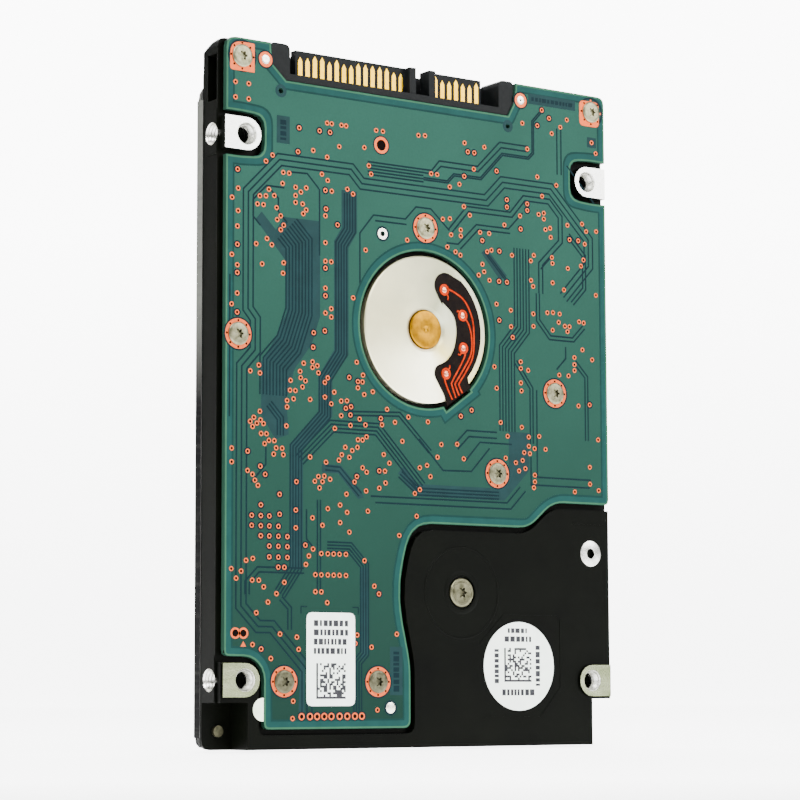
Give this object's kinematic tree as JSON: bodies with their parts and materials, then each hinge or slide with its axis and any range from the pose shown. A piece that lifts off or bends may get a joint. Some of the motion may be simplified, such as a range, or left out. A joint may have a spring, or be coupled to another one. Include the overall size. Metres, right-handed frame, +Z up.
{
  "type": "hard disk drive",
  "caption": "Slim 2.5-inch hard disk drive: black die-cast base, steel cover, teal circuit board, serial data and power connector, spindle motor, disc and head actuator inside.",
  "frame": {"origin": "middle of the rear end face that the drive stands on, half way through its width and its thickness", "axes": "+X to the right seen from the circuit board, +Z up towards the connector end, -Y out of the circuit board, +Y out of the top cover"},
  "size_m": [0.0698, 0.007, 0.1002],
  "materials": {
    "black_coat": "thin black electrophoretic coat on die-cast aluminium, satin",
    "cover_steel": "stamped steel cover, dull nickel, mottled",
    "gasket_rubber": "dispensed black sealing bead, matte",
    "label_paper": null,
    "screw_steel": "zinc-plated steel, slightly warm",
    "solder_mask": "teal green solder mask over copper, satin gloss",
    "insulator_foam": "thin dark foam sheet",
    "chip_resin": "moulded black epoxy",
    "black_plastic": "glass-filled black connector plastic",
    "gold_plate": "gold-plated contacts, polished",
    "machined_metal": "face-turned metal with swirl marks",
    "flex_film": "black polyimide printed film over copper",
    "brass": "turned brass, warm",
    "yoke_steel": "nickel-plated steel",
    "copper_wire": "enamelled copper wire",
    "disc_film": "mirror-polished recording disc",
    "arm_metal": "machined aluminium",
    "ramp_plastic": "ivory moulded plastic",
    "filter_fleece": "white filter fleece",
    "ceramic": "dark sintered ceramic"
  },
  "bodies": {
    "housing": {"base_casting": "black_coat", "top_cover": "cover_steel", "cover_gasket": "gasket_rubber", "cover_label": "label_paper", "cover_screw_1": "screw_steel", "cover_screw_2": "screw_steel", "cover_screw_3": "screw_steel", "cover_screw_4": "screw_steel", "cover_screw_5": "screw_steel", "cover_screw_6": "screw_steel", "circuit_board": "solder_mask", "board_insulator": "insulator_foam", "controller_chip": "chip_resin", "memory_chip": "chip_resin", "motor_driver_chip": "chip_resin", "board_screw_1": "screw_steel", "board_screw_2": "screw_steel", "board_screw_3": "screw_steel", "board_screw_4": "screw_steel", "board_screw_5": "screw_steel", "board_screw_6": "screw_steel", "board_screw_7": "screw_steel", "board_screw_8": "screw_steel", "board_label": "label_paper", "base_label": "label_paper", "connector_housing": "black_plastic", "power_contacts": "gold_plate", "signal_contacts": "gold_plate", "motor_flange": "machined_metal", "motor_flex": "flex_film", "bearing_end_cap": "brass", "bearing_sleeve": "brass", "stator_core": "yoke_steel", "stator_winding": "copper_wire", "pivot_screw": "screw_steel", "pivot_shaft": "screw_steel", "pivot_bearing": "screw_steel", "lower_yoke": "yoke_steel", "upper_yoke": "yoke_steel", "lower_magnet": "yoke_steel", "upper_magnet": "yoke_steel", "load_ramp": "ramp_plastic", "head_connector": "black_plastic", "actuator_flex": "flex_film", "air_filter": "filter_fleece", "breather_filter": "filter_fleece"},
    "spindle": {"spindle_hub": "machined_metal", "spindle_shaft": "screw_steel", "rotor_magnet": "yoke_steel", "platter": "disc_film", "disc_clamp": "machined_metal", "clamp_screw": "screw_steel"},
    "actuator": {"pivot_sleeve": "screw_steel", "actuator_arm": "arm_metal", "voice_coil": "copper_wire", "lower_suspension": "screw_steel", "upper_suspension": "screw_steel", "lower_slider": "ceramic", "upper_slider": "ceramic"},
    "latch": {"actuator_latch": "ramp_plastic"}
  },
  "joints": [
    {"name": "spindle_spin", "type": "hinge", "parent": "housing", "child": "spindle", "pos_m": [0.0002, 0, 0.0608], "axis": [0, 1, 0], "continuous": true},
    {"name": "actuator_swing", "type": "hinge", "parent": "housing", "child": "actuator", "pos_m": [0.0066, 0, 0.0224], "axis": [0, 1, 0], "range_deg": [0, 35]},
    {"name": "latch_swing", "type": "hinge", "parent": "housing", "child": "latch", "pos_m": [0.0264, 0, 0.024], "axis": [0, 1, 0], "range_deg": [0, 8]}
  ]
}
